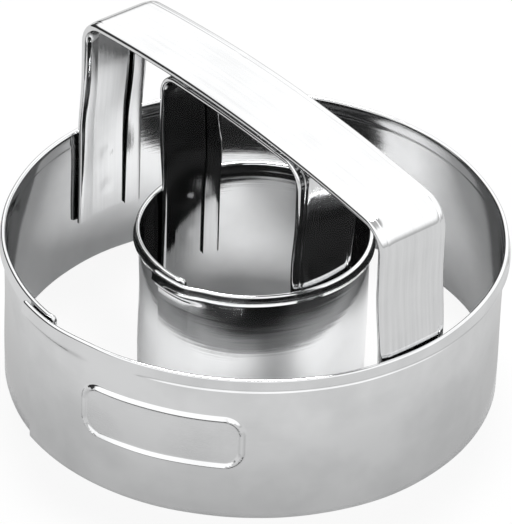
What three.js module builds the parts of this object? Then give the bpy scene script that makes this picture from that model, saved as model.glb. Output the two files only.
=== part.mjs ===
// Doughnut cutter in polished stainless steel. Two cutting rings, each a strip with a hemmed rim that is
// rolled up and lapped, hang on two nested strap handles whose long edges are folded in. Spot welds close
// the laps, hold the legs in the rings and join the two crowns.
// Millimetres, +Z up. The origin is the centre of the base, and the handles lie along X.
import * as THREE from 'three';

// Cutting rings: diameters are outside the wall, heights run from the cutting edge to the top of the rim.
const OUTER_RING_DIAMETER = 80;
const OUTER_RING_HEIGHT = 27;
const INNER_RING_DIAMETER = 37;
const INNER_RING_HEIGHT = 27.3;
const RING_SHEET = 0.4;

// Rim hem: the strip's top edge turned outwards and pressed down flat.
const OUTER_RIM_HEM_HEIGHT = 2.2;
const INNER_RIM_HEM_HEIGHT = 1.8;
const RIM_HEM_GAP = 0.06;
const RIM_HEM_LIFT = 0.2;

// Lap seams: where the strip's ends pass each other. The angle is that of the end that lies inside.
const OUTER_LAP_LENGTH = 6.2;
const OUTER_LAP_ANGLE = -90;
const INNER_LAP_LENGTH = 5.2;
const INNER_LAP_ANGLE = -75.5;
const LAP_GAP = 0.2;
const LAP_EASE_ANGLE = 55;
const LAP_FLARE_HEIGHT = 4;

// Strap handles: flat strip with both long edges folded back towards the inside of the U.
const OUTER_STRAP_WIDTH = 13;
const INNER_STRAP_WIDTH = 12.3;
const STRAP_SHEET = 0.45;
const STRAP_HEM_WIDTH = 3;
const HEM_FOOT_GAP = 0.1;
const OUTER_HEM_SHOULDER_GAP = 0.75;
const OUTER_HEM_CROWN_GAP = 0.5;
const INNER_HEM_SHOULDER_GAP = 0.35;
const INNER_HEM_CROWN_GAP = 0.2;
const HANDLE_RISE = 25.5;
const CROWN_ARCH = 2.6;
const OUTER_CORNER_RADIUS = 5.2;
const INNER_CORNER_RADIUS = 4.2;
const OUTER_LEG_LEAN = 0.8;
const INNER_LEG_LEAN = -0.9;
const OUTER_LEG_REACH = 17.8;
const INNER_LEG_REACH = 16;
const LEG_FLATTEN_HEIGHT = 8;
const LEG_GAP = 0.2;
const CROWN_GAP = 0.3;

// Spot welds: round nuggets in the gaps between the sheets.
const WELD_DIAMETER = 3;
const WELD_CLEARANCE = 0.05;
const LEG_WELD_RISE = 4.6;
const LEG_WELD_PITCH = 6.7;
const LEG_WELDS = 2;
const SEAM_WELD_RISE = 6;
const SEAM_WELD_PITCH = 10;
const SEAM_WELDS = 2;
const CROWN_WELD_PITCH = 22;

// Fineness of the round stretches.
const OUTER_RING_STEP = 4;
const INNER_RING_STEP = 6;
const RIM_ARC_DIVISIONS = 3;
const FOLD_ARC_STEPS = 4;
const FOOT_STEPS = 5;
const LEAN_STEPS = 7;
const CORNER_STEPS = 6;
const CROWN_STEPS = 12;
const WELD_SIDES = 16;

const FULL_TURN = 2 * Math.PI;
const { degToRad, lerp, smoothstep } = THREE.MathUtils;

function steelMesh(name, geometry, color, roughness) {
  const material = new THREE.MeshStandardMaterial({ color, roughness, metalness: 1 });
  const mesh = new THREE.Mesh(geometry, material);
  mesh.name = name;
  return mesh;
}

const polishedMesh = (name, geometry) => steelMesh(name, geometry, 0xd4d6d8, 0.14);
const weldMesh = (name, geometry) => steelMesh(name, geometry, 0x9a9c9e, 0.5);

// Joins a row of closed outlines of equal count into one body, with a cap on each end. The outlines turn
// anticlockwise seen from the far end of the row, and flat is one of them in its own plane.
function loft(outlines, flat) {
  const count = flat.length;
  const indices = [];
  for (let row = 0; row + 1 < outlines.length; row += 1) {
    for (let corner = 0; corner < count; corner += 1) {
      const a = row * count + corner;
      const b = row * count + ((corner + 1) % count);
      indices.push(a, b, b + count, a, b + count, a + count);
    }
  }
  const last = (outlines.length - 1) * count;
  for (const [a, b, c] of THREE.ShapeUtils.triangulateShape(flat, [])) {
    indices.push(a, c, b, last + a, last + b, last + c);
  }
  const geometry = new THREE.BufferGeometry();
  geometry.setFromPoints(outlines.flat());
  geometry.setIndex(indices);
  geometry.computeVertexNormals();
  return geometry;
}

// Section of a ring's strip: x runs outwards from the wall's outer face, y up from the cutting edge.
// The wall has a corner at each end of the stretch that flares out where the lap passes over the rim.
function ringOutline({ height, hemHeight }) {
  const foldRadius = RIM_HEM_GAP / 2 + RING_SHEET;
  const foldHeight = height - foldRadius;
  const flapEdge = height - hemHeight;
  const flare = lapFlare({ height, hemHeight });
  const outline = new THREE.Path();
  outline.moveTo(-RING_SHEET, 0);
  outline.lineTo(0, 0);
  outline.lineTo(0, flare.start);
  outline.lineTo(0, flare.end);
  outline.lineTo(0, foldHeight);
  outline.lineTo(RIM_HEM_GAP / 2, foldHeight + RIM_HEM_GAP / 2);
  outline.lineTo(RIM_HEM_GAP, foldHeight);
  outline.lineTo(RIM_HEM_GAP + RIM_HEM_LIFT, flapEdge);
  outline.lineTo(RIM_HEM_GAP + RIM_HEM_LIFT + RING_SHEET, flapEdge);
  outline.absarc(RIM_HEM_GAP / 2, foldHeight, foldRadius, 0, Math.PI, false);
  outline.lineTo(-RING_SHEET, flare.end);
  outline.lineTo(-RING_SHEET, flare.start);
  return outline.getPoints(RIM_ARC_DIVISIONS);
}

// The stretch of wall, just under the hem, where the outer layer of a lap leans out to clear the hem.
function lapFlare({ height, hemHeight }) {
  const end = height - hemHeight - LAP_GAP;
  return { start: end - LAP_FLARE_HEIGHT, end };
}

// How far the outer layer of a lap stands out from the inner one, at a height above the cutting edge.
function lapStep(height, ring) {
  const flare = lapFlare(ring);
  const wallStep = RING_SHEET + LAP_GAP;
  const hemThickness = RIM_HEM_GAP + RIM_HEM_LIFT + RING_SHEET;
  return wallStep + hemThickness * smoothstep(height, flare.start, flare.end);
}

// A hemmed strip rolled up clockwise from its inner end. Over the last stretch before it meets that end
// again it eases outwards, and it passes over the first layer for the length of the lap.
function lappedRing(name, ring) {
  const outline = ringOutline(ring);
  const radius = ring.diameter / 2;
  const sweep = FULL_TURN + ring.lapLength / radius;
  const rows = Math.ceil(sweep / degToRad(ring.step));
  const easeStart = FULL_TURN - degToRad(LAP_EASE_ANGLE);
  const outlines = [];
  for (let row = 0; row <= rows; row += 1) {
    const turned = (sweep * row) / rows;
    const angle = degToRad(ring.lapAngle) - turned;
    const eased = smoothstep(turned, easeStart, FULL_TURN);
    outlines.push(outline.map(({ x, y }) => {
      const reach = radius + x + eased * lapStep(y, ring);
      return new THREE.Vector3(reach * Math.cos(angle), reach * Math.sin(angle), y);
    }));
  }
  return polishedMesh(name, loft(outlines, outline));
}

// Section of a strap: x runs across the strap, y from its outer face towards the inside of the U. The
// folded edges are half round outside, and their lips stand off the panel by the hem gap.
function strapOutline(width, hemGap) {
  const fold = STRAP_SHEET + hemGap / 2;
  const side = width / 2 - fold;
  const lip = width / 2 - STRAP_HEM_WIDTH;
  const right = [new THREE.Vector2(0, 0), new THREE.Vector2(side / 2, 0)];
  for (let step = 0; step <= FOLD_ARC_STEPS; step += 1) {
    const angle = Math.PI * (step / FOLD_ARC_STEPS - 1 / 2);
    right.push(new THREE.Vector2(side + fold * Math.cos(angle), fold + fold * Math.sin(angle)));
  }
  right.push(new THREE.Vector2(lip, 2 * fold));
  right.push(new THREE.Vector2(lip, 2 * fold - STRAP_SHEET));
  right.push(new THREE.Vector2(side, 2 * fold - STRAP_SHEET));
  right.push(new THREE.Vector2(side + hemGap / 2, fold));
  right.push(new THREE.Vector2(side, STRAP_SHEET));
  right.push(new THREE.Vector2(side / 2, STRAP_SHEET));
  right.push(new THREE.Vector2(0, STRAP_SHEET));
  const left = right.slice(1, -1).reverse().map(({ x, y }) => new THREE.Vector2(-x, y));
  return [...right, ...left];
}

// Bends a strap's section to a radius about an axis on its inner side, with its two edges left in place.
function bendAcross({ x, y }, width, radius) {
  const rise = radius * (1 - Math.cos(width / 2 / radius));
  const turn = x / radius;
  return new THREE.Vector2((radius - y) * Math.sin(turn), radius - (radius - y) * Math.cos(turn) - rise);
}

const outerRing = {
  diameter: OUTER_RING_DIAMETER,
  height: OUTER_RING_HEIGHT,
  hemHeight: OUTER_RIM_HEM_HEIGHT,
  lapLength: OUTER_LAP_LENGTH,
  lapAngle: OUTER_LAP_ANGLE,
  step: OUTER_RING_STEP,
};

const innerRing = {
  diameter: INNER_RING_DIAMETER,
  height: INNER_RING_HEIGHT,
  hemHeight: INNER_RIM_HEM_HEIGHT,
  lapLength: INNER_LAP_LENGTH,
  lapAngle: INNER_LAP_ANGLE,
  step: INNER_RING_STEP,
};

// The crowns are arcs about one centre, so the inner handle lies along the underside of the outer one.
function nestedCrowns() {
  const span = footLine(outerRing, OUTER_STRAP_WIDTH) - OUTER_LEG_LEAN;
  const radius = (span ** 2 + CROWN_ARCH ** 2) / (2 * CROWN_ARCH);
  const thickness = 2 * STRAP_SHEET + OUTER_HEM_CROWN_GAP;
  return {
    centre: OUTER_RING_HEIGHT + HANDLE_RISE - radius,
    outer: radius,
    gapMiddle: radius - thickness - CROWN_GAP / 2,
    inner: radius - thickness - CROWN_GAP,
  };
}

// Radius of a leg's outer face where it lies in its ring, and the distance of its edges from the middle.
function footRadius(ring) {
  return ring.diameter / 2 - RING_SHEET - LEG_GAP;
}

function footLine(ring, strapWidth) {
  return footRadius(ring) * Math.cos(strapWidth / 2 / footRadius(ring));
}

const crowns = nestedCrowns();

const outerHandle = {
  ring: outerRing,
  width: OUTER_STRAP_WIDTH,
  foot: OUTER_RING_HEIGHT - OUTER_LEG_REACH,
  lean: OUTER_LEG_LEAN,
  corner: OUTER_CORNER_RADIUS,
  crown: crowns.outer,
  shoulderGap: OUTER_HEM_SHOULDER_GAP,
  crownGap: OUTER_HEM_CROWN_GAP,
};

const innerHandle = {
  ring: innerRing,
  width: INNER_STRAP_WIDTH,
  foot: INNER_RING_HEIGHT - INNER_LEG_REACH,
  lean: INNER_LEG_LEAN,
  corner: INNER_CORNER_RADIUS,
  crown: crowns.inner,
  shoulderGap: INNER_HEM_SHOULDER_GAP,
  crownGap: INNER_HEM_CROWN_GAP,
};

// Route of a strap's outer face in the XZ plane, from the foot at +X over the crown to the foot at -X:
// straight in the ring, leaning above it, then a corner, the crown, and the same back down.
function strapRoute({ ring, width, foot, lean, corner, crown }) {
  const footX = footLine(ring, width);
  const legX = footX - lean;
  const cornerX = legX - corner;
  const tangent = Math.acos(cornerX / (crown - corner));
  const cornerZ = crowns.centre + (crown - corner) * Math.sin(tangent);
  const middleZ = (ring.height + cornerZ) / 2;
  const arc = (x, z, radius, from, to) => new THREE.EllipseCurve(x, z, radius, radius, from, to);
  const rightLeg = [[footX, foot], [footX, ring.height], [footX, middleZ], [legX, middleZ], [legX, cornerZ]]
    .map(([x, z]) => new THREE.Vector2(x, z));
  const leftLeg = rightLeg.map(({ x, y }) => new THREE.Vector2(-x, y)).reverse();
  const curves = [
    new THREE.LineCurve(...rightLeg.slice(0, 2)),
    new THREE.CubicBezierCurve(...rightLeg.slice(1)),
    arc(cornerX, cornerZ, corner, 0, tangent),
    arc(0, crowns.centre, crown, tangent, Math.PI - tangent),
    arc(-cornerX, cornerZ, corner, Math.PI - tangent, Math.PI),
    new THREE.CubicBezierCurve(...leftLeg.slice(0, 4)),
    new THREE.LineCurve(...leftLeg.slice(3)),
  ];
  return { curves, shoulder: cornerZ };
}

// How far the hems stand open at the ends of the route's curves: nearly shut at the foot, widest at the
// shoulder, and pressed closer again along the crown.
function hemGaps({ ring, foot, shoulderGap, crownGap }, shoulder) {
  const rimGap = lerp(HEM_FOOT_GAP, shoulderGap, (ring.height - foot) / (shoulder - foot));
  const right = [HEM_FOOT_GAP, rimGap, shoulderGap, crownGap];
  return [...right, ...right.toReversed()];
}

// A folded strap along its route. In the ring its legs are bent to the wall.
function foldedStrap(name, handle) {
  const { ring, width, foot } = handle;
  const { curves, shoulder } = strapRoute(handle);
  const steps = [FOOT_STEPS, LEAN_STEPS, CORNER_STEPS, CROWN_STEPS, CORNER_STEPS, LEAN_STEPS, FOOT_STEPS];
  const bentTop = foot + LEG_WELD_RISE + (LEG_WELDS - 1) * LEG_WELD_PITCH;
  const flatFrom = ring.height + LEG_FLATTEN_HEIGHT;
  const gaps = hemGaps(handle, shoulder);
  const outlines = [];
  const addOutline = (point, tangent, hemGap) => {
    const bent = 1 - smoothstep(point.y, bentTop, flatFrom);
    outlines.push(strapOutline(width, hemGap).map((corner) => {
      const { x, y } = bent > 0 ? bendAcross(corner, width, footRadius(ring) / bent) : corner;
      return new THREE.Vector3(point.x - tangent.y * y, x, point.y + tangent.x * y);
    }));
  };
  curves.forEach((curve, index) => {
    for (let step = 0; step < steps[index]; step += 1) {
      const along = step / steps[index];
      const hemGap = lerp(gaps[index], gaps[index + 1], along);
      addOutline(curve.getPoint(along), curve.getTangent(along), hemGap);
    }
  });
  addOutline(curves.at(-1).getPoint(1), curves.at(-1).getTangent(1), HEM_FOOT_GAP);
  return polishedMesh(name, loft(outlines, strapOutline(width, HEM_FOOT_GAP)));
}

// A nugget's disc with its axis along X, a little thinner than the gap that it fills.
function nuggetDisc(gap) {
  const thickness = gap - 2 * WELD_CLEARANCE;
  const disc = new THREE.CylinderGeometry(WELD_DIAMETER / 2, WELD_DIAMETER / 2, thickness, WELD_SIDES);
  return disc.rotateZ(Math.PI / 2);
}

// A nugget between two walls round the ring axis, bent to the same radius as the walls.
function wallNugget(name, gap, gapRadius, angle, height) {
  const disc = nuggetDisc(gap);
  const place = disc.attributes.position;
  for (let index = 0; index < place.count; index += 1) {
    const reach = gapRadius + place.getX(index);
    const turn = place.getY(index) / gapRadius;
    place.setXYZ(index, reach * Math.cos(turn), reach * Math.sin(turn), place.getZ(index));
  }
  disc.computeVertexNormals();
  const nugget = weldMesh(name, disc);
  nugget.rotation.z = angle;
  nugget.position.z = height;
  return nugget;
}

function legWelds(name, handle) {
  const gapRadius = footRadius(handle.ring) + LEG_GAP / 2;
  const welds = new THREE.Group();
  for (const [side, angle] of [['right', 0], ['left', Math.PI]]) {
    for (let weld = 0; weld < LEG_WELDS; weld += 1) {
      const height = handle.foot + LEG_WELD_RISE + weld * LEG_WELD_PITCH;
      welds.add(wallNugget(`${name}_${side}_leg_weld_${weld + 1}`, LEG_GAP, gapRadius, angle, height));
    }
  }
  return welds;
}

function seamWelds(name, ring) {
  const radius = ring.diameter / 2;
  const angle = degToRad(ring.lapAngle) - ring.lapLength / radius / 2;
  const welds = new THREE.Group();
  for (let weld = 0; weld < SEAM_WELDS; weld += 1) {
    const height = SEAM_WELD_RISE + weld * SEAM_WELD_PITCH;
    welds.add(wallNugget(`${name}_seam_weld_${weld + 1}`, LAP_GAP, radius + LAP_GAP / 2, angle, height));
  }
  return welds;
}

// The outer handle's lips rest on the inner handle's crown and are welded to it, two spots to a side.
function crownWelds() {
  const lean = Math.asin(CROWN_WELD_PITCH / 2 / crowns.gapMiddle);
  const across = (INNER_STRAP_WIDTH - STRAP_HEM_WIDTH) / 2;
  const welds = new THREE.Group();
  for (const [end, tilt] of [['right', lean], ['left', -lean]]) {
    for (const [edge, y] of [['front', -across], ['back', across]]) {
      const nugget = weldMesh(`crown_weld_${end}_${edge}`, nuggetDisc(CROWN_GAP).rotateY(Math.PI / 2));
      const x = crowns.gapMiddle * Math.sin(tilt);
      nugget.position.set(x, y, crowns.centre + crowns.gapMiddle * Math.cos(tilt));
      nugget.rotation.y = tilt;
      welds.add(nugget);
    }
  }
  return welds;
}

const doughnutCutter = new THREE.Group();
doughnutCutter.add(lappedRing('outer_ring', outerRing));
doughnutCutter.add(lappedRing('inner_ring', innerRing));
doughnutCutter.add(foldedStrap('outer_handle', outerHandle));
doughnutCutter.add(foldedStrap('inner_handle', innerHandle));
doughnutCutter.add(seamWelds('outer_ring', outerRing));
doughnutCutter.add(seamWelds('inner_ring', innerRing));
doughnutCutter.add(legWelds('outer', outerHandle));
doughnutCutter.add(legWelds('inner', innerHandle));
doughnutCutter.add(crownWelds());

export default doughnutCutter;
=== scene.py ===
# %% [markdown]
# # A doughnut cutter, bent from four strips of steel
# The real cutter is sheet metal: two hoops that cut, and two straps that the hand holds. Every
# strip is folded back along its edges, so that it is stiff and doesn't bite. Each piece here is
# made in the order of the press shop: cut a flat blank, fold it, roll or bend it, and only then
# give it the sheet's thickness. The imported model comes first, because its boxes say how large each
# piece is and where it goes.

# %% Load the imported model
import math

import bmesh
import bpy
from mathutils import Matrix, Vector, noise


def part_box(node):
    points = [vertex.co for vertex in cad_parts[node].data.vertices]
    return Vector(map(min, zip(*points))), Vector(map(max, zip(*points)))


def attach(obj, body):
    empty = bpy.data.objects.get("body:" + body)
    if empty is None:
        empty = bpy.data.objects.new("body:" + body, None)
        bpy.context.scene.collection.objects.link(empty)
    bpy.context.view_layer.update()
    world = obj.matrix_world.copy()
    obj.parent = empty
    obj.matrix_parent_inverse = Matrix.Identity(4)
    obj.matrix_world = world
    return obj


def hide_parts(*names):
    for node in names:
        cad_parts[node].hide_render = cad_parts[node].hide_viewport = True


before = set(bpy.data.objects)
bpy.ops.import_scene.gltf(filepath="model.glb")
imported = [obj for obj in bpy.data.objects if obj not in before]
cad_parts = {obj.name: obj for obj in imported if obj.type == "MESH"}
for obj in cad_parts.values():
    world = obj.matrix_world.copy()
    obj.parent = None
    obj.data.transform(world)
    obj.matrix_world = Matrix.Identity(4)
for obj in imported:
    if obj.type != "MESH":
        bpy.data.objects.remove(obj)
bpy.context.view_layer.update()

MM = 0.001

# %% [markdown]
# ## The blank
# Sheet metal starts as a flat strip. A grid is the plainest model of one: columns along the strip,
# rows across it. Folds need rows close together and flat stretches don't, so the grid's lines are
# slid to chosen distances before anything is bent. The flat strip's own millimetres are kept as a
# UV map, and the polishing lines follow it later, whatever shape the strip has by then.

# %% A flat blank with its lines where the folds need them
GRAIN_MAP = "grain"


def stops(*stretches):
    """Distances of the lines on a blank. A stretch is the distance where it ends, and its cells."""
    lines = [0.0]
    for end, cells in stretches:
        start = lines[-1]
        lines += [start + (end - start) * cell / cells for cell in range(1, cells + 1)]
    return lines


def blank(along, across):
    """A flat strip along X with grid lines at the distances, and a map of its flat millimetres."""
    strip = bmesh.new()
    columns, rows = len(along) - 1, len(across) - 1
    bmesh.ops.create_grid(strip, x_segments=columns, y_segments=rows, size=0.5)
    for corner in strip.verts:
        column = round((corner.co.x + 0.5) * columns)
        row = round((corner.co.y + 0.5) * rows)
        corner.co = (along[column], across[row], 0)
    grain = strip.loops.layers.uv.new(GRAIN_MAP)
    for face in strip.faces:
        for loop in face.loops:
            loop[grain].uv = loop.vert.co.xy / MM
    return strip


print("two cells up to 1 and three more up to 4:", stops((1, 2), (4, 3)))

# %% [markdown]
# ## From a bent blank to a piece of steel
# The blank is bent as a sheet without thickness, because a fold is then one smooth rule. Solidify
# gives it the gauge of the steel on both sides of that middle sheet, and Bevel takes the burr off
# the cut edges: a sheared and tumbled edge is never sharp, and its thin bright line is what shows
# it as sheet metal. Modelling both faces by hand would double the work and let them drift apart.

# %% Thickness, eased edges and a seat on the frame
CUT_EDGE_ROUND = 0.07 * MM
CUT_EDGE_ANGLE = math.radians(60)
CUT_EDGE_SEGMENTS = 2


def thicken(piece, thickness):
    """Gives a bent sheet its gauge and takes the burr off its cut edges."""
    gauge = piece.modifiers.new("gauge", "SOLIDIFY")
    gauge.thickness = thickness
    gauge.offset = 0
    gauge.use_even_offset = True
    gauge.use_quality_normals = True
    burr = piece.modifiers.new("cut_edges", "BEVEL")
    burr.width = CUT_EDGE_ROUND
    burr.segments = CUT_EDGE_SEGMENTS
    burr.limit_method = "ANGLE"
    burr.angle_limit = CUT_EDGE_ANGLE
    burr.harden_normals = True


def sheet_piece(name, strip, place, thickness, node, second_finish=None):
    """Bends a blank with place(along, across), thickens it, and seats it where the node was."""
    for face in strip.faces:
        middle = face.calc_center_median()
        face.material_index = int(second_finish is not None and second_finish(middle.x, middle.y))
        face.smooth = True
    for corner in strip.verts:
        corner.co = place(corner.co.x, corner.co.y)
    mesh = bpy.data.meshes.new(name)
    strip.to_mesh(mesh)
    strip.free()
    piece = bpy.data.objects.new(name, mesh)
    bpy.context.scene.collection.objects.link(piece)
    thicken(piece, thickness)
    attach(piece, "root")
    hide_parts(node)
    print(name, "has", len(mesh.polygons), "cells before it is thickened")
    return piece


# %% [markdown]
# ## The rings
# Each ring is a strip whose top edge is turned outwards and pressed down flat, a hem, before the
# strip is rolled up. Its ends pass each other for a few millimetres and are spot welded there. A
# ring could be turned round an axis, but then the lap and the hem's free ends would have to be cut
# in afterwards. Rolling a strip gives them by themselves. The sizes come first: radius and height
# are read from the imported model, and the blank's length follows from them.

# %% Sizes of the rings
RING_SHEET = 0.4 * MM
RIM_HEM_GAP = 0.06 * MM
RIM_HEM_LIFT = 0.2 * MM
RIM_FOLD = (RING_SHEET + RIM_HEM_GAP) / 2
RIM_HEM_STAND = RIM_HEM_GAP + RIM_HEM_LIFT + RING_SHEET
RADIUS_DIGITS = 4
FULL_TURN = 2 * math.pi


def ring_sizes(node, hem_height, lip_curl, lip_shut, lap_angle, lap_length):
    """A ring's sizes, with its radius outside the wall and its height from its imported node."""
    _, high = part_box(node)
    radius = round(high.x - RIM_HEM_STAND, RADIUS_DIGITS)
    hem = high.z - hem_height
    fold_start = high.z - RING_SHEET - RIM_HEM_GAP / 2
    fold_end = fold_start + math.pi * RIM_FOLD
    return {
        "node": node,
        "radius": radius,
        "height": high.z,
        "hem": hem,
        "lip_curl": lip_curl,
        "lip_shut": math.radians(lip_shut),
        "fold_start": fold_start,
        "fold_end": fold_end,
        "lap_angle": math.radians(lap_angle),
        "length": FULL_TURN * radius + lap_length,
        "width": fold_end + fold_start - hem,
    }


outer_ring = ring_sizes(
    "outer_ring",
    hem_height=2.2 * MM,
    lip_curl=0.2 * MM,
    lip_shut=45,
    lap_angle=-90,
    lap_length=6.2 * MM,
)
inner_ring = ring_sizes(
    "inner_ring",
    hem_height=1.8 * MM,
    lip_curl=0.2 * MM,
    lip_shut=10,
    lap_angle=-75.5,
    lap_length=5.2 * MM,
)
for ring in (outer_ring, inner_ring):
    cut = [round(ring[side] / MM, 1) for side in ("length", "width")]
    print(ring["node"], "is", round(ring["radius"] * 2 / MM, 1), "mm across, from a blank of", cut)

# %% [markdown]
# ## Fold, then roll
# Two rules bend the blank. The first works across the strip: up to the fold nothing happens, then
# the sheet goes round a half circle, and the rest hangs down outside with a lip that curls off a
# little. The second works along it: it turns the length into an angle, and lifts the last stretch
# of the strip over the first layer. Just below the hem it steps out further, because there it has
# to clear the hem of the inner layer.

# %% Fold the hem
LIP_LENGTH = 0.7 * MM


def smooth_step(value, start, end):
    """0 before start, 1 after end, and an even S between them."""
    share = min(max((value - start) / (end - start), 0), 1)
    return share * share * (3 - 2 * share)


def folded_rim(along, across, ring):
    """How far outside the wall's middle, and how high, a point lies once the hem is folded."""
    if across < ring["fold_start"]:
        return 0, across
    if across < ring["fold_end"]:
        turn = (across - ring["fold_start"]) / RIM_FOLD
        return RIM_FOLD * (1 - math.cos(turn)), ring["fold_start"] + RIM_FOLD * math.sin(turn)
    height = ring["fold_start"] - (across - ring["fold_end"])
    lift = RIM_HEM_LIFT * (ring["fold_start"] - height) / (ring["fold_start"] - ring["hem"])
    lip = max(0, 1 - (height - ring["hem"]) / LIP_LENGTH)
    from_lap = min(along, ring["length"] - along) / ring["radius"]
    curl = ring["lip_curl"] * smooth_step(from_lap, ring["lip_shut"] / 2, ring["lip_shut"])
    return 2 * RIM_FOLD + lift + curl * lip ** 2, height


for ring in (outer_ring, inner_ring):
    outside, height = folded_rim(ring["length"] / 2, ring["width"], ring)
    print(ring["node"], "has its hem's edge", round(outside / MM, 2), "mm outside its wall's middle")

# %% Roll the strip up and lap it
LAP_GAP = 0.2 * MM
LAP_EASE = math.radians(55)
LAP_FLARE_HEIGHT = 1.2 * MM
LAP_FLARE_DROP = 0.9 * MM
LAP_FLARE_EASE = math.radians(14)


def lap_step(turned, height, ring):
    """How far the strip steps out for its lap, more where it also clears the inner hem."""
    step = smooth_step(turned, FULL_TURN - LAP_EASE, FULL_TURN)
    flare_end = ring["hem"] - LAP_FLARE_DROP
    flare = smooth_step(height, flare_end - LAP_FLARE_HEIGHT, flare_end)
    flare *= smooth_step(turned, FULL_TURN - LAP_FLARE_EASE, FULL_TURN)
    return (RING_SHEET + LAP_GAP) * step + RIM_HEM_STAND * flare


def rolled(along, outside, height, ring):
    """A point of the folded strip, on the ring."""
    turned = along / ring["radius"]
    reach = ring["radius"] - RING_SHEET / 2 + outside + lap_step(turned, height, ring)
    angle = ring["lap_angle"] - turned
    return Vector((reach * math.cos(angle), reach * math.sin(angle), height))


for ring in (outer_ring, inner_ring):
    steps = [round(lap_step(FULL_TURN, height, ring) / MM, 2) for height in (0, ring["height"])]
    print(ring["node"], "steps out for its lap, at foot and rim, by", steps, "mm")

# %% [markdown]
# ## What the tools left behind
# A rolled wall isn't a perfect cylinder. The hem's press left a fine step below the rim and drew
# the rim out a little, the sheet bellies by about a tenth of a millimetre, and the free end of the
# inner layer curls in. On polished steel these small things make the reflections, so they are
# shapes and not a bump map.

# %% Press step, drawn rim, belly and curl
PRESS_STEP = 0.06 * MM
PRESS_STEP_DROP = 0.6 * MM
PRESS_STEP_HEIGHT = 0.7 * MM
RIM_DRAW = 0.12 * MM
RIM_DRAW_HEIGHT = 1.3 * MM
BELLY_DEPTH = 0.15 * MM
BELLY_SIZE = 11 * MM
CURL_LENGTH = 1.6 * MM
CURL_DEPTH = 0.2 * MM
END_ROUND = 0.6 * MM
END_ROUND_REACH = 2 * MM


def belly(point):
    """The small unevenness of a rolled sheet."""
    return BELLY_DEPTH * noise.noise(point / BELLY_SIZE)


def wall_marks(along, height, ring):
    """How far the press step, the drawn rim and the curled end move a point of the wall outwards."""
    step_start = ring["hem"] - PRESS_STEP_DROP
    pressed = PRESS_STEP * (smooth_step(height, step_start, step_start + PRESS_STEP_HEIGHT) - 1)
    drawn = RIM_DRAW * max(0, 1 - (ring["height"] - height) / RIM_DRAW_HEIGHT) ** 2
    curled = CURL_DEPTH * (1 - smooth_step(along, 0, CURL_LENGTH))
    return pressed + drawn - curled * smooth_step(height, 0, ring["hem"])


def end_round(along, height, ring):
    """How far the rounded corner at an end of the strip takes its rim down."""
    inside = max(0, END_ROUND - min(along, ring["length"] - along))
    drop = END_ROUND - math.sqrt(END_ROUND ** 2 - inside ** 2)
    return drop * smooth_step(height, ring["height"] - END_ROUND_REACH, ring["height"])


for ring in (outer_ring, inner_ring):
    drawn = wall_marks(ring["length"] / 2, ring["height"], ring)
    print(ring["node"], "is drawn out at its rim by", round(drawn / MM, 2), "mm")

# %% [markdown]
# ## The pressed panel
# The outer wall carries a panel with a raised bead round it, pressed from inside before the strip
# is rolled. Its field is plain. The bead follows the distance to a rounded rectangle, so its
# corners come out as even arcs, and the blank has close grid lines there so that the bead is real
# relief on both sides. A bump map would be less work, but it would leave the wall's mesh smooth.

# %% Bead and field of the panel
PANEL_ANGLE = math.radians(-60.1)
PANEL_LENGTH = 27.4 * MM
PANEL_HEIGHT = 10.0 * MM
PANEL_MIDDLE = 14.5 * MM
PANEL_CORNER = 3.4 * MM
BEAD_WIDTH = 1.0 * MM
BEAD_RISE = 0.46 * MM
FIELD_RISE = 0.1 * MM
panel_along = (outer_ring["lap_angle"] - PANEL_ANGLE) % FULL_TURN * outer_ring["radius"]


def panel_outside(along, height):
    """How far a point of the wall lies outside the panel's outline, less than 0 inside it."""
    side = abs(along - panel_along) - PANEL_LENGTH / 2 + PANEL_CORNER
    rise = abs(height - PANEL_MIDDLE) - PANEL_HEIGHT / 2 + PANEL_CORNER
    return math.hypot(max(side, 0), max(rise, 0)) + min(max(side, rise), 0) - PANEL_CORNER


def panel_relief(along, height):
    """How far the panel raises the wall: a rounded bead, and a field just proud of the wall."""
    outside = panel_outside(along, height)
    bead = max(0, 1 - abs(2 * outside / BEAD_WIDTH + 1))
    field = smooth_step(-outside, 0, BEAD_WIDTH)
    return BEAD_RISE * math.sin(bead * math.pi / 2) ** 2 + FIELD_RISE * field


def in_panel_field(along, height):
    """Whether a point of the wall lies inside the bead."""
    return panel_outside(along, height) < -BEAD_WIDTH


print("the panel's middle is", round(panel_along / MM, 1), "mm along the blank")

# %% [markdown]
# ## Making the two rings
# All rules are in place, so a ring is now one call: a blank with lines where the folds, the flare,
# the press step and the panel need them, and the rule that bends it. The belly is added last, along
# the wall's own outward direction, so it needs the rolled point first.

# %% Lines across a ring's blank, and its rule
FLARE_CELLS = 6
STEP_LEAD_CELLS = 2
STEP_CELLS = 5
RIM_CELLS = 6
RIM_FOLD_CELLS = 12
RIM_HEM_CELLS = 4
RIM_LIP_CELLS = 6


def ring_rows(ring, *wall):
    """Lines across a ring's blank, from the cutting edge over the fold to the hem's free edge."""
    flare_end = ring["hem"] - LAP_FLARE_DROP
    step_start = ring["hem"] - PRESS_STEP_DROP
    return stops(
        *wall,
        (flare_end - LAP_FLARE_HEIGHT, FLARE_CELLS),
        (flare_end, FLARE_CELLS),
        (step_start, STEP_LEAD_CELLS),
        (step_start + PRESS_STEP_HEIGHT, STEP_CELLS),
        (ring["fold_start"], RIM_CELLS),
        (ring["fold_end"], RIM_FOLD_CELLS),
        (ring["width"] - LIP_LENGTH, RIM_HEM_CELLS),
        (ring["width"], RIM_LIP_CELLS),
    )


def ring_place(ring, relief):
    """The rule that bends a ring's blank."""
    def place(along, across):
        outside, height = folded_rim(along, across, ring)
        outside += wall_marks(along, height, ring) + relief(along, height)
        height -= end_round(along, height, ring)
        point = rolled(along, outside, height, ring)
        return rolled(along, outside + belly(point), height, ring)
    return place


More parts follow.
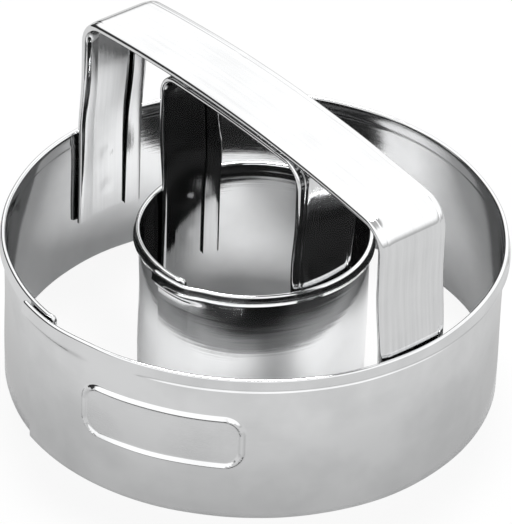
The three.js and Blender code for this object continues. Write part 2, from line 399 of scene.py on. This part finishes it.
# %% Make the outer ring
COLUMN = math.radians(1.5)
PANEL_CELL = 0.2 * MM
END_CELLS = 5
FOOT_CELLS = 6

turn_cell = outer_ring["radius"] * COLUMN
panel_start = panel_along - PANEL_LENGTH / 2 - BEAD_WIDTH
panel_end = panel_along + PANEL_LENGTH / 2 + BEAD_WIDTH
outer_end = outer_ring["length"] - END_ROUND
outer_columns = stops(
    (END_ROUND, END_CELLS),
    (CURL_LENGTH, END_CELLS),
    (panel_start, round(panel_start / turn_cell)),
    (panel_end, round((panel_end - panel_start) / PANEL_CELL)),
    (outer_end, round((outer_end - panel_end) / turn_cell)),
    (outer_ring["length"], END_CELLS),
)
panel_foot = PANEL_MIDDLE - PANEL_HEIGHT / 2 - BEAD_WIDTH / 2
panel_head = PANEL_MIDDLE + PANEL_HEIGHT / 2 + BEAD_WIDTH / 2
panel_rows = round((panel_head - panel_foot) / PANEL_CELL)
outer_rows = ring_rows(outer_ring, (panel_foot, FOOT_CELLS), (panel_head, panel_rows))
outer_ring_piece = sheet_piece(
    "rolled_outer_ring",
    blank(outer_columns, outer_rows),
    ring_place(outer_ring, panel_relief),
    RING_SHEET,
    "outer_ring",
    second_finish=in_panel_field,
)

# %% Make the inner ring
HALF_WALL_CELLS = 8

inner_turns = inner_ring["length"] / inner_ring["radius"]
inner_columns = stops(
    (END_ROUND, END_CELLS),
    (CURL_LENGTH, END_CELLS),
    (inner_ring["length"] - END_ROUND, round(inner_turns / COLUMN)),
    (inner_ring["length"], END_CELLS),
)
inner_rows = ring_rows(inner_ring, (inner_ring["height"] / 2, HALF_WALL_CELLS))
inner_ring_piece = sheet_piece(
    "rolled_inner_ring",
    blank(inner_columns, inner_rows),
    ring_place(inner_ring, lambda along, height: 0),
    RING_SHEET,
    "inner_ring",
)

# %% [markdown]
# ## The strap handles
# A handle is a strip with both long edges folded back towards the inside, bent into a U over a
# former. The crown is slightly arched, the legs are straight, and at the foot each leg is curved to
# lie against the wall of its ring. The rules are the same three as for a ring: fold across, bend
# along, then thicken. The arch sets the outer crown's radius, and the inner crown is drawn from the
# same centre, so that an even gap is left between them for the welds to bridge.

# %% Sizes of the handles
STRAP_SHEET = 0.45 * MM
CROWN_ARCH = 2.6 * MM
CROWN_GAP = 0.3 * MM
LEG_GAP = 0.2 * MM


def crown_circle(top, span, outer):
    """Radius and centre height of a crown: from its own arch, or concentric with the outer one."""
    if outer is None:
        radius = (span ** 2 + CROWN_ARCH ** 2) / (2 * CROWN_ARCH)
        return radius, top - radius
    return outer["crown"] - 2 * STRAP_SHEET - outer["crown_gap"] - CROWN_GAP, outer["centre"]


def handle_sizes(node, ring, corner, lean, shoulder_gap, crown_gap, outer=None):
    """A handle's sizes, with its width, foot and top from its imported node."""
    low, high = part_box(node)
    width = high.y - low.y
    foot_radius = ring["radius"] - RING_SHEET - LEG_GAP
    foot_x = foot_radius * math.cos(width / 2 / foot_radius)
    span = foot_x - lean
    radius, centre = crown_circle(high.z, span, outer)
    corner_x = span - corner
    tangent = math.acos(corner_x / (radius - corner))
    corner_z = centre + (radius - corner) * math.sin(tangent)
    leg = corner_z - low.z
    return {
        "node": node,
        "rim": ring["height"],
        "width": width,
        "foot": low.z,
        "foot_x": foot_x,
        "foot_radius": foot_radius,
        "lean": lean,
        "shoulder_gap": shoulder_gap,
        "crown_gap": crown_gap,
        "corner": corner,
        "corner_x": corner_x,
        "corner_z": corner_z,
        "crown": radius,
        "centre": centre,
        "tangent": tangent,
        "leg": leg,
        "bend": leg + corner * tangent,
        "half": leg + corner * tangent + radius * (math.pi / 2 - tangent),
    }


outer_handle = handle_sizes(
    "outer_handle",
    outer_ring,
    corner=5.2 * MM,
    lean=0.8 * MM,
    shoulder_gap=0.75 * MM,
    crown_gap=0.5 * MM,
)
inner_handle = handle_sizes(
    "inner_handle",
    inner_ring,
    corner=4.2 * MM,
    lean=-0.9 * MM,
    shoulder_gap=0.35 * MM,
    crown_gap=0.2 * MM,
    outer=outer_handle,
)
for handle in (outer_handle, inner_handle):
    print(handle["node"], "is cut", round(handle["half"] * 2 / MM, 1), "mm long")

# %% [markdown]
# ## Fold and bend the strap
# Across the strap, the face eases down towards each edge, goes round the fold and comes back inside
# as a hem. The folding rolls leave a fine crease beside each edge, and it is part of the same rule.
# Along the strap, one half is described from foot to crown, as leg, corner and arch, and the other
# half mirrors it. The hems are pressed nearly shut at the foot and gape most at the shoulder.

# %% Fold the strap's edges
HEM_WIDTH = 3.0 * MM
HEM_LIP_DROP = 0.4
EDGE_EASE = 1.5 * MM
EDGE_FALL = 0.18 * MM
CREASE_IN = 1.35 * MM
CREASE_DEPTH = 0.05 * MM
CREASE_HALF = 0.16 * MM


def folded_strap(across, width, gap):
    """Where a line of the blank lies in the section: from the middle, and in from the face."""
    fold = (STRAP_SHEET + gap) / 2
    flat = width / 2 - STRAP_SHEET - gap / 2
    side = math.copysign(1, across)
    distance = abs(across)
    eased = min(max((distance - flat) / EDGE_EASE + 1, 0), 1)
    face = STRAP_SHEET / 2 + EDGE_FALL * eased ** 2
    if distance < flat:
        crease = max(0, 1 - abs(distance - width / 2 + CREASE_IN) / CREASE_HALF)
        return across, face + CREASE_DEPTH * crease
    turn = (distance - flat) / fold
    if turn < math.pi:
        fall = EDGE_FALL * turn / math.pi
        return side * (flat + fold * math.sin(turn)), face - fall + fold * (1 - math.cos(turn))
    lip = distance - flat - math.pi * fold
    drop = HEM_LIP_DROP * gap * (lip / HEM_WIDTH) ** 2
    return side * (flat - lip), face + 2 * fold - drop - EDGE_FALL


def bent_to_wall(aside, depth, width, radius):
    """Curves a strap's section round the ring's axis, with its two edges left in place."""
    rise = radius * (1 - math.cos(width / 2 / radius))
    turn = aside / radius
    return (radius - depth) * math.sin(turn), radius - (radius - depth) * math.cos(turn) - rise


# %% Bend the strap over its former
LEG_STRAIGHT = 6 * MM
HEM_GAP_FOOT = 0.1 * MM


def strap_route(along, handle):
    """Place of the strap's face on its right half, and how far the face has turned up."""
    if along < handle["leg"]:
        height = handle["foot"] + along
        straight_from = handle["corner_z"] - LEG_STRAIGHT
        lean = handle["lean"] * smooth_step(height, handle["rim"], straight_from)
        return handle["foot_x"] - lean, height, 0
    if along < handle["bend"]:
        turn = (along - handle["leg"]) / handle["corner"]
        x = handle["corner_x"] + handle["corner"] * math.cos(turn)
        return x, handle["corner_z"] + handle["corner"] * math.sin(turn), turn
    turn = handle["tangent"] + (along - handle["bend"]) / handle["crown"]
    x = handle["crown"] * math.cos(turn)
    return x, handle["centre"] + handle["crown"] * math.sin(turn), turn


def hem_gap(along, handle):
    """How far a hem stands open: nearly shut at the foot, widest at the shoulder."""
    shoulder, crown = handle["shoulder_gap"], handle["crown_gap"]
    if along < handle["leg"]:
        return HEM_GAP_FOOT + (shoulder - HEM_GAP_FOOT) * along / handle["leg"]
    return shoulder + (crown - shoulder) * smooth_step(along, handle["leg"], handle["bend"])


for handle in (outer_handle, inner_handle):
    top = strap_route(handle["half"], handle)[1]
    print(handle["node"], "has its crown at a height of", round(top / MM, 1), "mm")

# %% [markdown]
# ## Waves and weld marks
# The folding rolls leave slight waves along the strip, and the welding tips leave shallow round
# marks on the legs and on the crown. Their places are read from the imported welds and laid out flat
# on the blank, where a mark is a plain circle. After bending they sit over their welds.

# %% Waves and weld marks of the straps
WAVE_DEPTH = 0.04 * MM
WAVE_SIZE = 8 * MM
DENT_DEPTH = 0.06 * MM
DENT_RADIUS = 1.7 * MM
DENT_RIM = 1.2 * MM


def weld_middle(weld):
    """The middle of a packed weld."""
    low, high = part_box(weld)
    return (low + high) / 2


def leg_dents(handle):
    """Where the welds of a handle's two legs lie on its blank, along and across."""
    name = handle["node"].replace("_handle", "")
    right = [weld_middle(f"{name}_right_leg_weld_{number}") for number in (1, 2)]
    left = [weld_middle(f"{name}_left_leg_weld_{number}") for number in (1, 2)]
    marks = [(spot.z - handle["foot"], spot.y) for spot in right]
    return marks + [(2 * handle["half"] - spot.z + handle["foot"], spot.y) for spot in left]


def crown_dents(handle):
    """Where the welds between the crowns lie on a handle's blank."""
    places = [(side, edge) for side in ("right", "left") for edge in ("front", "back")]
    spots = [weld_middle(f"crown_weld_{side}_{edge}") for side, edge in places]
    middle, radius = handle["half"], handle["crown"]
    return [(middle - radius * math.asin(spot.x / radius), spot.y) for spot in spots]


def dented(along, across, marks):
    """1 inside the mark that a welding tip left, and 0 away from all of them."""
    nearest = min(math.hypot(along - mark[0], across - mark[1]) for mark in marks)
    return 1 - smooth_step(nearest, DENT_RADIUS - DENT_RIM, DENT_RADIUS)


def waved(along, across, handle):
    """The small waves of a strip that has been through the folding rolls."""
    return WAVE_DEPTH * noise.noise(Vector((along, across, handle["width"])) / WAVE_SIZE)


for handle in (outer_handle, inner_handle):
    marks = leg_dents(handle) + crown_dents(handle)
    print(handle["node"], "has", len(marks), "weld marks")

# %% [markdown]
# ## Making the two handles
# One rule puts the steps together: route, fold, marks, the curve of the foot, and the turn of the
# face. The curve fades out above the ring's rim, so the leg goes from a hollow section to a flat
# one. The blank has close lines at creases, folds and corners, and wide ones between them.

# %% The whole rule for a handle
LEG_BENT_HEIGHT = 11.3 * MM
LEG_FLATTEN_HEIGHT = 8 * MM


def handle_place(handle):
    """The rule that bends a handle's blank."""
    legs = leg_dents(handle)
    crown = crown_dents(handle)
    bent_top = handle["foot"] + LEG_BENT_HEIGHT
    flat_from = handle["rim"] + LEG_FLATTEN_HEIGHT

    def place(along, across):
        from_foot = min(along, 2 * handle["half"] - along)
        x, z, turn = strap_route(from_foot, handle)
        aside, depth = folded_strap(across, handle["width"], hem_gap(from_foot, handle))
        depth += waved(along, across, handle) - DENT_DEPTH * dented(along, across, legs)
        depth += DENT_DEPTH * dented(along, across, crown)
        bent = 1 - smooth_step(z, bent_top, flat_from)
        if bent > 0:
            radius = handle["foot_radius"] / bent
            aside, depth = bent_to_wall(aside, depth, handle["width"], radius)
        x -= depth * math.cos(turn)
        z -= depth * math.sin(turn)
        return Vector((x if along < handle["half"] else -x, aside, z))
    return place


# %% Make the two handles
STRAP_CELL = 0.4 * MM
CREASE_CELLS = 4
EDGE_CELLS = 4
FOLD_CELLS = 10
LIP_CELLS = 4
CORNER_CELLS = 16


def handle_blank(handle):
    """A handle's blank, with close lines across its folds and along its corners."""
    fold = (STRAP_SHEET + HEM_GAP_FOOT) / 2
    flat = handle["width"] / 2 - STRAP_SHEET - HEM_GAP_FOOT / 2
    lip = flat + math.pi * fold + HEM_WIDTH - STRAP_SHEET - HEM_GAP_FOOT / 2
    crease = handle["width"] / 2 - CREASE_IN
    half_width = stops(
        (crease - CREASE_HALF, round(crease / STRAP_CELL)),
        (crease + CREASE_HALF, CREASE_CELLS),
        (flat, EDGE_CELLS),
        (flat + math.pi * fold, FOLD_CELLS),
        (lip, LIP_CELLS),
    )
    half_length = stops(
        (handle["leg"], round(handle["leg"] / STRAP_CELL)),
        (handle["bend"], CORNER_CELLS),
        (handle["half"], round((handle["half"] - handle["bend"]) / STRAP_CELL)),
    )
    along = half_length + [2 * handle["half"] - line for line in reversed(half_length[:-1])]
    across = [-line for line in reversed(half_width[1:])] + half_width
    print(handle["node"], "has a blank", round(2 * lip / MM, 1), "mm wide")
    return blank(along, across)


outer_handle_piece, inner_handle_piece = [
    sheet_piece(
        "folded_" + handle["node"],
        handle_blank(handle),
        handle_place(handle),
        STRAP_SHEET,
        handle["node"],
    )
    for handle in (outer_handle, inner_handle)
]

# %% [markdown]
# ## Polished stainless steel
# Polished strip is nearly a mirror, but not quite: the belt leaves fine lines and wider streaks
# along the strip, and handling leaves soft patches. The lines and patches drive the roughness, the
# patches also dull the colour a little, and two weak bumps bend the reflections. On the straps the
# patches are drawn out into streaks. Lines and streaks read the blank's own map, so they run round
# the rings and over the handles as they do on the real strip. The panel's field has no polish, only
# the fine grain of the press tool, so it gets a second, duller steel. A few small helpers keep the
# node trees readable.

# %% Node helpers
def new_material(name):
    """A material with its node tree and its principled shader."""
    material = bpy.data.materials.new(name)
    material.use_nodes = True
    return material, material.node_tree, material.node_tree.nodes["Principled BSDF"]


def feed(tree, socket, source):
    """Links another node's socket to this one, or writes a plain value into it."""
    if isinstance(source, bpy.types.NodeSocket):
        tree.links.new(source, socket)
    else:
        socket.default_value = source


def calculated(tree, operation, first, second):
    """The result of one sum on two sockets or values."""
    node = tree.nodes.new("ShaderNodeMath")
    node.operation = operation
    feed(tree, node.inputs[0], first)
    feed(tree, node.inputs[1], second)
    return node.outputs[0]


def ranged(tree, value, edges, levels, interpolation="LINEAR"):
    """A level that goes from the first to the second while a value goes from edge to edge."""
    node = tree.nodes.new("ShaderNodeMapRange")
    node.interpolation_type = interpolation
    names = ("Value", "From Min", "From Max", "To Min", "To Max")
    for name, source in zip(names, (value, *edges, *levels)):
        feed(tree, node.inputs[name], source)
    return node.outputs["Result"]


# %% Helpers for noise, colour and bump
def on_object(tree):
    """The place on the object, in metres."""
    return tree.nodes.new("ShaderNodeTexCoord").outputs["Object"]


def noise_at(tree, place, scale, detail):
    """A soft noise, from 0 to 1."""
    node = tree.nodes.new("ShaderNodeTexNoise")
    for name, source in (("Vector", place), ("Scale", scale), ("Detail", detail)):
        feed(tree, node.inputs[name], source)
    return node.outputs["Fac"]


def ramped(tree, factor, edges, colours):
    """A colour that goes from the first to the second while a factor goes from edge to edge."""
    node = tree.nodes.new("ShaderNodeValToRGB")
    for element, edge, colour in zip(node.color_ramp.elements, edges, colours):
        element.position = edge
        element.color = colour
    feed(tree, node.inputs["Fac"], factor)
    return node.outputs["Color"]


def bumped(tree, height, strength, distance, under=None):
    """A weak bump, on top of another one if there is one."""
    node = tree.nodes.new("ShaderNodeBump")
    for name, source in (("Height", height), ("Strength", strength), ("Distance", distance)):
        feed(tree, node.inputs[name], source)
    if under is not None:
        feed(tree, node.inputs["Normal"], under)
    return node.outputs["Normal"]


# %% Lines and streaks of the polishing belt
LINE_SCALE = (0.05, 14, 1)
LINE_STRENGTH = 0.06
LINE_DEPTH = 0.04 * MM
STREAK_SCALE = (0.04, 1.4, 1)
STREAK_STRENGTH = 0.15
STREAK_DEPTH = 0.06 * MM
BELT_DETAIL = 4.0


def belt_marks(tree, scale):
    """A noise drawn out along the strip, on the map of its flat blank."""
    flat_map = tree.nodes.new("ShaderNodeUVMap")
    flat_map.uv_map = GRAIN_MAP
    stretch = tree.nodes.new("ShaderNodeMapping")
    feed(tree, stretch.inputs["Vector"], flat_map.outputs["UV"])
    feed(tree, stretch.inputs["Scale"], scale)
    return noise_at(tree, stretch.outputs["Vector"], 1.0, BELT_DETAIL)


# %% The steel of the four strips
STEEL_CLEAN = (0.82, 0.825, 0.83, 1)
STEEL_HANDLED = (0.73, 0.735, 0.74, 1)
PATCH_SCALE = 90.0
PATCH_DETAIL = 3.0
PATCH_EDGE = (0.4, 0.68)
DRAWN_EDGE = (0.16, 0.4)
WORN_EDGE = (0.1, 0.4)
STRIP_ROUGHNESS = (0.05, 0.12)
PANEL_ROUGHNESS = (0.2, 0.3)
GRAIN_SCALE = 3500.0
GRAIN_DETAIL = 2.0
GRAIN_STRENGTH = 0.35
GRAIN_DEPTH = 0.06 * MM


def polished_steel(name, roughness, drawn=False, grained=False):
    """Belt polished strip with soft patches, drawn into streaks, or with a pressed grain."""
    material, tree, shader = new_material(name)
    shader.inputs["Metallic"].default_value = 1
    lines = belt_marks(tree, LINE_SCALE)
    streaks = belt_marks(tree, STREAK_SCALE)
    patches = noise_at(tree, on_object(tree), PATCH_SCALE, PATCH_DETAIL)
    clouds = calculated(tree, "MULTIPLY", streaks, patches) if drawn else patches
    edges = DRAWN_EDGE if drawn else PATCH_EDGE
    colour = ramped(tree, clouds, edges, (STEEL_CLEAN, STEEL_HANDLED))
    feed(tree, shader.inputs["Base Color"], colour)
    worn = calculated(tree, "MULTIPLY", lines, patches)
    feed(tree, shader.inputs["Roughness"], ranged(tree, worn, WORN_EDGE, roughness))
    normal = bumped(tree, lines, LINE_STRENGTH, LINE_DEPTH)
    normal = bumped(tree, streaks, STREAK_STRENGTH, STREAK_DEPTH, normal)
    if grained:
        grain = noise_at(tree, on_object(tree), GRAIN_SCALE, GRAIN_DETAIL)
        normal = bumped(tree, grain, GRAIN_STRENGTH, GRAIN_DEPTH, normal)
    feed(tree, shader.inputs["Normal"], normal)
    return material


ring_steel = polished_steel("polished_ring_steel", STRIP_ROUGHNESS)
strap_steel = polished_steel("polished_strap_steel", STRIP_ROUGHNESS, drawn=True)
panel_steel = polished_steel("grained_panel_steel", PANEL_ROUGHNESS, grained=True)
for piece, steels in (
    (outer_ring_piece, (ring_steel, panel_steel)),
    (inner_ring_piece, (ring_steel,)),
    (outer_handle_piece, (strap_steel,)),
    (inner_handle_piece, (strap_steel,)),
):
    for steel in steels:
        piece.data.materials.append(steel)
    print(piece.name, "carries", [steel.name for steel in steels])

# %% [markdown]
# ## The welds
# A spot weld is a small nugget where two sheets melted together under the welding tips. The packed
# nuggets are kept as they are, because they sit between the sheets and hardly show. They only get a
# steel of their own: it has melted and set again, so it is grey, dull and a little pitted.

# %% Steel for the welds
PIT_SCALE = 2500.0
PIT_DETAIL = 4.0
PIT_DARK = (0.16, 0.16, 0.17, 1)
PIT_LIGHT = (0.5, 0.5, 0.51, 1)
PIT_ROUGHNESS = (0.35, 0.65)
WHOLE = (0, 1)

nugget_steel, tree, shader = new_material("weld_nugget_steel")
shader.inputs["Metallic"].default_value = 1
pits = noise_at(tree, on_object(tree), PIT_SCALE, PIT_DETAIL)
feed(tree, shader.inputs["Base Color"], ramped(tree, pits, WHOLE, (PIT_DARK, PIT_LIGHT)))
feed(tree, shader.inputs["Roughness"], ranged(tree, pits, WHOLE, PIT_ROUGHNESS))
welds = [node for name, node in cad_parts.items() if "weld" in name]
for weld in welds:
    weld.data.materials.clear()
    weld.data.materials.append(nugget_steel)
print(len(welds), "welds carry the nugget steel")

# %% [markdown]
# ## The floor
# Bright steel shows what is around it, so the room is half of its look. The cutter stands on a pale
# floor that the camera sees as white, with a little of the shadow left on it. What the steel sees
# of the floor is a stage trick of painted shade. Outside the rings the first mirror shows it glowing
# at a set level that rises away from the foot, a painted shadow round the foot. In mirrors of
# mirrors it is nearly black within about 31 mm of the middle, a painted shade for the floor between
# the steel walls. A real floor doesn't do that. The levels were fitted to one view, for its dark
# reflections, and a plain floor would be the better start for other views. So the paleness follows
# the distance from the middle and the depth of the ray.

# %% A plate for the floor
FLOOR_HALF = 3.0

floor_mesh = bpy.data.meshes.new("floor")
plate = bmesh.new()
bmesh.ops.create_grid(plate, x_segments=1, y_segments=1, size=FLOOR_HALF)
plate.to_mesh(floor_mesh)
plate.free()
floor = bpy.data.objects.new("floor", floor_mesh)
bpy.context.scene.collection.objects.link(floor)
print("floor plate", 2 * FLOOR_HALF, "m wide")

# %% What is seen, and how two levels or shaders are mixed
FIRST_MIRROR = 1.5


def seen_first(tree):
    """1 for what the camera sees by itself or in one mirror, and 0 for later mirrors."""
    rays = tree.nodes.new("ShaderNodeLightPath").outputs
    early = calculated(tree, "LESS_THAN", rays["Ray Depth"], FIRST_MIRROR)
    mirrored = calculated(tree, "MAXIMUM", rays["Is Glossy Ray"], rays["Is Transmission Ray"])
    once = calculated(tree, "MULTIPLY", mirrored, early)
    return calculated(tree, "MAXIMUM", rays["Is Camera Ray"], once)


def mixed_level(tree, factor, first, second):
    """The first level where the factor is 0, and the second where it is 1."""
    node = tree.nodes.new("ShaderNodeMix")
    node.data_type = "FLOAT"
    for name, source in (("Factor", factor), ("A", first), ("B", second)):
        feed(tree, node.inputs[name], source)
    return node.outputs["Result"]


def mixed_shader(tree, factor, first, second):
    """The first shader where the factor is 0, and the second where it is 1."""
    node = tree.nodes.new("ShaderNodeMixShader")
    for socket, source in zip(node.inputs, (factor, first, second)):
        feed(tree, socket, source)
    return node.outputs[0]


def vector_measure(tree, operation, *vectors):
    """A number measured on one or two vectors."""
    node = tree.nodes.new("ShaderNodeVectorMath")
    node.operation = operation
    for socket, source in zip(node.inputs, vectors):
        feed(tree, socket, source)
    return node.outputs["Value"]


# %% Paint the floor
FLOOR_ROUGHNESS = 0.9
FLOOR_INSIDE = 0.9
# The dim levels for mirrors of mirrors and the mirrored glow levels below are painted shade on the
# floor as the mirrors see it.
FLOOR_PAINTED_SHADE = (0.02, 0.36)
FLOOR_PAINTED_SHADE_FADE = (31 * MM, 35 * MM)
FLOOR_MIRRORED_PAINTED_SHADE = (0.53, 0.76)
FLOOR_FOOT_SHADE_FADE = (42 * MM, 66 * MM)
FLOOR_EDGE = (39.5 * MM, 41 * MM)
FLOOR_WHITE = 0.9

floor_paint, tree, shader = new_material("pale_floor_with_painted_shade")
from_middle = vector_measure(tree, "LENGTH", on_object(tree))
seen = seen_first(tree)
in_view = tree.nodes.new("ShaderNodeLightPath").outputs["Is Camera Ray"]
# Painted shade: in mirrors of mirrors the floor's colour is nearly black within 31 mm of the middle
# and 0.36 beyond 35 mm, in place of the shadow between the walls.
later = ranged(tree, from_middle, FLOOR_PAINTED_SHADE_FADE, FLOOR_PAINTED_SHADE)
feed(tree, shader.inputs["Base Color"], mixed_level(tree, seen, later, FLOOR_INSIDE))
shader.inputs["Roughness"].default_value = FLOOR_ROUGHNESS
shader.inputs["Specular IOR Level"].default_value = 0
glow = tree.nodes.new("ShaderNodeEmission")
# Painted shadow: outside the rings a first mirror sees only the floor's glow, dimmer at the ring's
# foot and rising away from it, in place of the shadow round the foot.
mirrored = ranged(tree, from_middle, FLOOR_FOOT_SHADE_FADE, FLOOR_MIRRORED_PAINTED_SHADE)
feed(tree, glow.inputs["Strength"], mixed_level(tree, in_view, mirrored, 1))
outside = calculated(tree, "MULTIPLY", ranged(tree, from_middle, FLOOR_EDGE, WHOLE), seen)
glowing = mixed_level(tree, in_view, outside, FLOOR_WHITE)
painted = mixed_shader(tree, glowing, shader.outputs[0], glow.outputs[0])
feed(tree, tree.nodes["Material Output"].inputs["Surface"], painted)
floor_mesh.materials.append(floor_paint)
print("the floor is painted with", len(tree.nodes), "nodes")

# %% [markdown]
# ## The tent
# Small bright things are photographed in a tent of white cloth, because a lamp alone would only
# make spots on them. The cloth gives the white crown. One dark opening, low on the front left,
# gives the dark lines that make the steel look like metal, and a dimmer horizon and roof give the
# walls their soft shading. For the floor's own light the tent is turned down, so that the lamp's
# shadows stay.

# %% A bright tent, open on one side
TENT_BRIGHT = 1.27
TENT_HORIZON = 0.5
TENT_RISE = 0.32
TENT_ROOF = 0.4
TENT_ROOF_EDGE = (0.84, 0.96)
TENT_OPENING = (-0.87, -0.5, -0.5)
TENT_EDGE = (0.36, 0.58)
TENT_DARK = 0.03
TENT_SOFT = 0.35
WHITE = (1, 1, 1, 1)

tent = bpy.data.worlds.new("tent")
tent.use_nodes = True
bpy.context.scene.world = tent
tree = tent.node_tree
rays = tree.nodes.new("ShaderNodeLightPath").outputs
direction = tree.nodes.new("ShaderNodeTexCoord").outputs["Generated"]
upward = vector_measure(tree, "DOT_PRODUCT", direction, (0, 0, 1))
toward_opening = vector_measure(tree, "DOT_PRODUCT", direction, TENT_OPENING)
walls = ranged(tree, upward, (0, TENT_RISE), (TENT_HORIZON, TENT_BRIGHT), "SMOOTHSTEP")
roof = ranged(tree, upward, TENT_ROOF_EDGE, (1, TENT_ROOF), "SMOOTHSTEP")
opening = ranged(tree, toward_opening, TENT_EDGE, (1, TENT_DARK), "SMOOTHSTEP")
softened = ranged(tree, rays["Is Diffuse Ray"], WHOLE, (1, TENT_SOFT))
level = walls
for part in (opening, roof, softened):
    level = calculated(tree, "MULTIPLY", level, part)
cloth = tree.nodes["Background"]
cloth.inputs["Color"].default_value = WHITE
feed(tree, cloth.inputs["Strength"], level)
backdrop = tree.nodes.new("ShaderNodeBackground")
backdrop.inputs["Color"].default_value = WHITE
tented = mixed_shader(tree, rays["Is Camera Ray"], cloth.outputs[0], backdrop.outputs[0])
feed(tree, tree.nodes["World Output"].inputs["Surface"], tented)
print("the tent is", TENT_BRIGHT, "bright, and", TENT_DARK, "of that in its opening")

# %% [markdown]
# ## The lamp
# A square lamp hangs above and a little behind the cutter, as over a photographer's table. It is
# small enough that rings and handles throw shadows on the floor inside them, and those shadows are
# what the inner walls mirror as dark patches. A larger lamp would wash them out.

# %% A soft lamp above and behind
LAMP_SIZE = 0.4
LAMP_DISTANCE = 1.2
LAMP_TOWARD = Vector((-0.29, 0.24, 0.93)).normalized()
LAMP_POWER = 11.5

lamp_light = bpy.data.lights.new("soft_lamp", "AREA")
lamp_light.size = LAMP_SIZE
lamp_light.energy = LAMP_POWER
lamp = bpy.data.objects.new("soft_lamp", lamp_light)
lamp_turn = LAMP_TOWARD.to_track_quat("Z", "Y").to_matrix().to_4x4()
lamp.matrix_world = Matrix.Translation(LAMP_TOWARD * LAMP_DISTANCE) @ lamp_turn
bpy.context.scene.collection.objects.link(lamp)
print("the lamp stands", round(math.degrees(math.asin(LAMP_TOWARD.z))), "degrees high")

# %% [markdown]
# ## The camera
# The camera stands far back with a long lens, so the rings look like nearly even ellipses. Its
# direction is given as two angles round the object and a small roll, and its aim is slid sideways
# and up in the picture, which keeps the lens itself unshifted.

# %% The camera
VIEW_AZIMUTH = math.radians(50.1)
VIEW_ELEVATION = math.radians(35.35)
VIEW_ROLL = math.radians(1.95)
VIEW_DISTANCE = 717 * MM
AIM_RIGHT = 0.87 * MM
AIM_UP = 16.67 * MM
IMAGE_HEIGHT = 524
FOCAL_PIXELS = 4405

lens = bpy.data.cameras.new("camera")
lens.lens = FOCAL_PIXELS / IMAGE_HEIGHT * lens.sensor_width
camera = bpy.data.objects.new("camera", lens)
back = Vector((
    math.sin(VIEW_AZIMUTH) * math.cos(VIEW_ELEVATION),
    -math.cos(VIEW_AZIMUTH) * math.cos(VIEW_ELEVATION),
    math.sin(VIEW_ELEVATION),
))
turn = back.to_track_quat("Z", "Y").to_matrix() @ Matrix.Rotation(VIEW_ROLL, 3, "Z")
aim = turn @ Vector((AIM_RIGHT, AIM_UP, 0))
camera.matrix_world = Matrix.Translation(aim + back * VIEW_DISTANCE) @ turn.to_4x4()
bpy.context.scene.collection.objects.link(camera)
bpy.context.scene.camera = camera
bpy.context.scene.view_settings.view_transform = "Standard"
print("lens", round(lens.lens), "mm")
